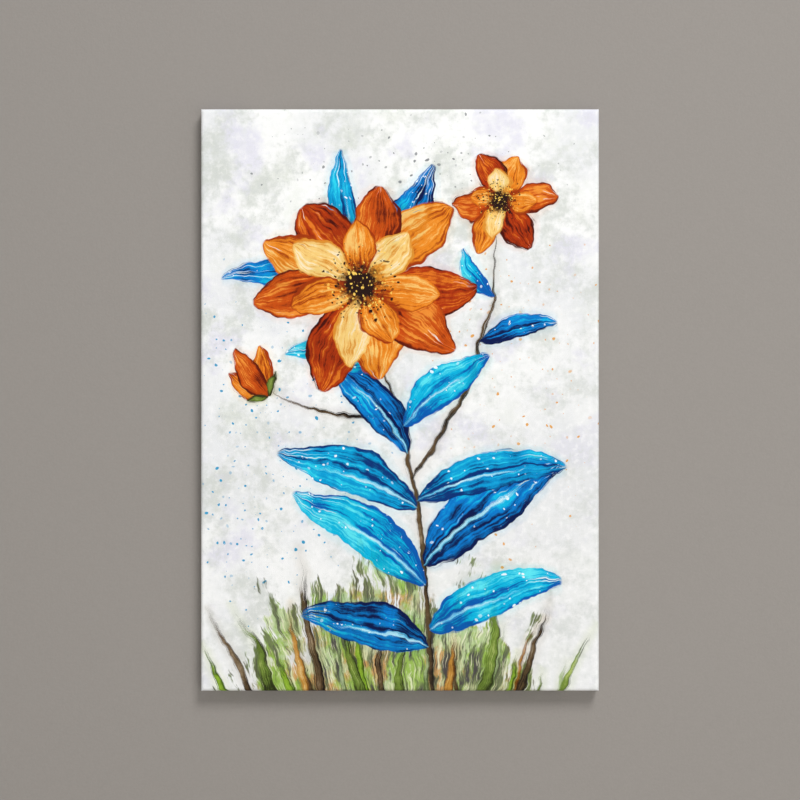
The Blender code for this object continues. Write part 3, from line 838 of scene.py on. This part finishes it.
def zinc(name, tint, roughness):
    """Zinc-plated steel: cloudy crystals over fine lines from the rolling mill."""
    material, s, body = finish(name, roughness, metallic=1.0)
    place = s.add("TexCoord").outputs["Object"]
    clouds = s.cloud(place, 260.0, 3.0, 0.6)
    lines = s.cloud(s.vectors("MULTIPLY", place, (300, 300, 5200)), 1.0, 2.0)
    worn = s.cloud(place, 900.0, 2.0)
    colour = s.stain(tint, s.blend(0.5, tint, ink(226, 228, 232)), clouds, 0.35, 0.65)
    colour = s.stain(colour, ink(112, 108, 100), worn, 0.62, 0.80, 0.5)
    sheen = s.fade(s.maths("ADD", clouds, lines), 0.7, 1.3, roughness - 0.1, roughness + 0.12)
    s.put(body.inputs["Base Color"], colour)
    s.put(body.inputs["Roughness"], sheen)
    s.put(body.inputs["Normal"], s.bump(s.maths("MULTIPLY_ADD", lines, 0.4, clouds), 0.00003))
    return material


def back_edges():
    """Each edge of the back: (quarter turns on from the top, half its length, half the size across)."""
    for quarter in range(4):
        sizes = (HALF_WIDTH, HALF_HEIGHT) if quarter % 2 == 0 else (HALF_HEIGHT, HALF_WIDTH)
        yield quarter, *sizes


def drive_staple(along, inset, half_breadth, lift, quarter):
    """Copies the first staple to one side of the back, quarter turns on from the top."""
    verts = only(BMVert, bmesh.ops.duplicate(staple_wire, geom=first_staple)["geom"])
    swing = Matrix.Rotation(math.radians(stapler.gauss(0, 7)), 3, "Y")
    bmesh.ops.rotate(staple_wire, verts=verts, matrix=swing)
    bmesh.ops.translate(staple_wire, verts=verts, vec=(along, BACK_Y + lift, half_breadth - inset))
    bmesh.ops.rotate(staple_wire, verts=verts, matrix=Matrix.Rotation(quarter * math.pi / 2, 3, "Y"))


staple_wire = bmesh.new()
bmesh.ops.create_cube(staple_wire, size=1.0)
staple_size = (STAPLE_LENGTH, STAPLE_WIRE + STAPLE_SUNK, STAPLE_WIDTH)
bmesh.ops.scale(staple_wire, vec=staple_size, verts=staple_wire.verts)
bmesh.ops.translate(staple_wire, vec=(0, (STAPLE_WIRE - STAPLE_SUNK) / 2, 0), verts=staple_wire.verts)
shoulders = [edge for edge in staple_wire.edges
             if all(end.co.y > 0 for end in edge.verts) and edge.verts[0].co.x * edge.verts[1].co.x > 0]
bmesh.ops.bevel(staple_wire, geom=shoulders, offset=STAPLE_BEND, affect="EDGES", segments=3, profile=0.5,
                material=-1)
first_staple = staple_wire.verts[:] + staple_wire.edges[:] + staple_wire.faces[:]
for quarter, half_length, half_breadth in back_edges():
    level = quarter % 2 == 0
    run = half_length - (FLAP_LENGTH if level else TURNED_IN) - STAPLE_FREE
    count = round(2 * run / STAPLE_PITCH)
    for index in range(count + 1):
        along = run * (2 * index / count - 1) + stapler.gauss(0, 0.002)
        drive_staple(along, STAPLE_LINE + stapler.gauss(0, 0.0012), half_breadth, 0.0, quarter)
    for inward, inset in FLAP_STAPLES if level else ():
        for across in (-1, 1):
            along = across * (half_length - inward)
            drive_staple(along, inset, half_breadth, FLAP_THICKNESS - FLAP_SUNK, quarter)
bmesh.ops.delete(staple_wire, geom=first_staple, context="VERTS")
staples = made_from(staple_wire, "staples", zinc("staple_wire", ink(196, 196, 194), 0.34))
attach(staples, "root")

# -----------------------------------------------------------------------------
# Loose threads. The cloth was cut, not hemmed, so single cotton threads fray out of its edge
# and lie on the wood.

THREAD_RADIUS = 0.00021
THREADS_PER_METRE = 42
THREAD_FREE = 0.012                 # between the last thread and the corner
cutter = random.Random(12)


def fray(along, half_breadth, quarter):
    """One three-sided thread that leaves the cut edge, comes down to the wood and curls."""
    start = BACK_Y - CLOTH_THICKNESS / 2
    ring = bmesh.ops.create_circle(loose, segments=3, radius=THREAD_RADIUS, cap_ends=True)["verts"]
    bmesh.ops.translate(loose, verts=ring, vec=(along, start, half_breadth - TURNED_IN + 0.001))
    made = list(ring)
    tip = [face for face in loose.faces if ring[0] in face.verts]
    bearing, curl = cutter.gauss(0, 0.5), cutter.gauss(0, 0.35)
    step = cutter.uniform(0.003, 0.009) / 4
    for drop in (0.0, 0.5, 0.5, 0.0):
        tip = bmesh.ops.extrude_face_region(loose, geom=tip)["geom"]
        verts, tip = only(BMVert, tip), only(BMFace, tip)
        move = (step * math.sin(bearing), -drop * (start - 1.2 * THREAD_RADIUS), -step * math.cos(bearing))
        bmesh.ops.translate(loose, verts=verts, vec=move)
        bearing += curl
        made += verts
    bmesh.ops.rotate(loose, verts=made, matrix=Matrix.Rotation(quarter * math.pi / 2, 3, "Y"))


def cotton():
    material, s, body = finish("cotton_thread", 0.9, specular=0.2)
    twist = s.cloud(s.add("TexCoord").outputs["Object"], 1400.0, 2.0)
    tint = ink(236, 230, 214)
    s.put(body.inputs["Base Color"], s.stain(tint, s.blend(0.3, tint, ink(150, 140, 118)), twist, 0.3, 0.7))
    s.put(body.inputs["Normal"], s.bump(twist, 0.0001))
    return material


loose = bmesh.new()
for quarter, half_length, half_breadth in back_edges():
    run = half_length - TURNED_IN - THREAD_FREE
    for index in range(round(2 * run * THREADS_PER_METRE)):
        fray(cutter.uniform(-run, run), half_breadth, quarter)
bmesh.ops.recalc_face_normals(loose, faces=loose.faces[:])
threads = made_from(loose, "loose_threads", cotton())
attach(threads, "root")

# -----------------------------------------------------------------------------
# Toothed hangers and their nails. Stamped from zinc-plated strip and nailed to the top bar, so
# that a hook in the wall catches a tooth.

HANGER_ZINC = zinc("hanger_zinc", ink(178, 180, 182), 0.38)
NAIL_ZINC = zinc("nail_zinc", ink(150, 150, 148), 0.42)
for name in nodes:
    if name.startswith(("hanger_", "nail_")):
        dress(nodes[name], HANGER_ZINC if name.startswith("hanger_") else NAIL_ZINC)
        soften(nodes[name], width=0.00012)

# -----------------------------------------------------------------------------
# Bumpers. Two discs cut from pressed wool felt and glued low on the back, so that the frame
# stands off the wall and can't mark it.

def felt():
    material, s, body = finish("pressed_felt", 0.97, specular=0.1)
    place = s.add("TexCoord").outputs["Object"]
    tufts = s.cloud(place, 900.0, 5.0, 0.7)
    fibres = s.cloud(s.vectors("MULTIPLY", place, (3000, 3000, 500)), 1.0, 2.0)
    colour = s.stain(ink(52, 52, 55), ink(84, 84, 88), tufts, 0.35, 0.65)
    s.put(body.inputs["Base Color"], s.stain(colour, ink(136, 134, 132), fibres, 0.60, 0.75, 0.6))
    s.put(body.inputs["Normal"], s.bump(s.maths("ADD", tufts, fibres), 0.0003))
    body.inputs["Sheen Weight"].default_value = 0.4
    body.inputs["Sheen Roughness"].default_value = 0.6
    return material


FELT = felt()
for name in nodes:
    if name.startswith("bumper_"):
        dress(nodes[name], FELT)
        soften(nodes[name], width=0.0003)

# -----------------------------------------------------------------------------
# Studio. A painted wall with an opening behind the picture, so that its back shows, and a pale
# floor. One large soft lamp stands up on the right, weak ones in front and behind.

WALL_GAP = 0.0004
WALL_THICKNESS = 0.006
WALL_REACH = 2.2
WALL_TOP = 1.45
FLOOR_LEVEL = -1.52
OPENING_INSET = 0.005


def painted(name, tint, grain, depth):
    material, s, body = finish(name, 0.85, specular=0.2)
    rolled = s.cloud(s.add("TexCoord").outputs["Object"], grain, 3.0)
    s.put(body.inputs["Base Color"], s.stain(tint, s.blend(0.04, tint, ink(0, 0, 0)), rolled, 0.2, 0.8))
    s.put(body.inputs["Normal"], s.bump(rolled, depth))
    return material


wall_y = cad_high.y + WALL_GAP
panel = bmesh.new()
bmesh.ops.create_grid(panel, x_segments=1, y_segments=1, size=1.0)
hole = (HALF_WIDTH - OPENING_INSET, HALF_HEIGHT - OPENING_INSET)
for vertex in panel.verts:
    vertex.co = (vertex.co.x * hole[0], wall_y, vertex.co.y * hole[1])
opening = panel.faces[:]
grown = bmesh.ops.extrude_edge_only(panel, edges=panel.edges[:])["geom"]
for vertex in only(BMVert, grown):
    vertex.co.x = math.copysign(WALL_REACH, vertex.co.x)
    vertex.co.z = WALL_TOP if vertex.co.z > 0 else FLOOR_LEVEL
bmesh.ops.delete(panel, geom=opening, context="FACES_ONLY")
bmesh.ops.recalc_face_normals(panel, faces=panel.faces[:])
bmesh.ops.solidify(panel, geom=panel.faces[:], thickness=WALL_THICKNESS)
for vertex in panel.verts:
    vertex.co.y = wall_y if abs(vertex.co.y - wall_y) < WALL_THICKNESS / 2 else wall_y + WALL_THICKNESS
bmesh.ops.recalc_face_normals(panel, faces=panel.faces[:])
boards = bmesh.new()
bmesh.ops.create_grid(boards, x_segments=1, y_segments=1, size=4.0)
bmesh.ops.translate(boards, vec=(0, -1.5, FLOOR_LEVEL), verts=boards.verts)
made_from(panel, "wall", painted("wall_paint", ink(147, 142, 137), 180.0, 0.0004))
made_from(boards, "floor", painted("floor_paint", ink(226, 224, 220), 90.0, 0.0003))

LAMPS = {
    # lamp: (place, what it points at, width, watts)
    "key": ((3.3, -7.2, 8.1), (0, 0, 0), 3.8, 925),
    "fill": ((0.9, -4.2, -0.6), (0, 0, -0.2), 2.4, 28),
    "behind": ((1.2, 3.4, 2.2), (0, 0, 0), 2.2, 70),
    "behind_low": ((-1.9, 2.9, -0.8), (0, 0, 0), 1.8, 26),
}
for name, (spot, target, width, watts) in LAMPS.items():
    lamp = bpy.data.lights.new(name, "AREA")
    lamp.size = width
    lamp.energy = watts
    holder = bpy.data.objects.new(name, lamp)
    aim = (Vector(target) - Vector(spot)).to_track_quat("-Z", "Y")
    holder.matrix_world = Matrix.Translation(spot) @ aim.to_matrix().to_4x4()
    bpy.context.scene.collection.objects.link(holder)
world = bpy.data.worlds.new("room")
world.use_nodes = True
room_light = world.node_tree.nodes["Background"].inputs
room_light["Color"].default_value = (1.0, 0.99, 0.98, 1.0)
room_light["Strength"].default_value = 0.45
bpy.context.scene.world = world
bpy.context.scene.view_settings.view_transform = "Standard"

CAMERA_DISTANCE = 4.0
CAMERA_LENS = 71
lens = bpy.data.cameras.new("camera")
lens.lens = CAMERA_LENS
camera = bpy.data.objects.new("camera", lens)
camera.matrix_world = Matrix.Translation((0, -CAMERA_DISTANCE, 0)) @ Matrix.Rotation(math.pi / 2, 4, "X")
bpy.context.scene.collection.objects.link(camera)
bpy.context.scene.camera = camera
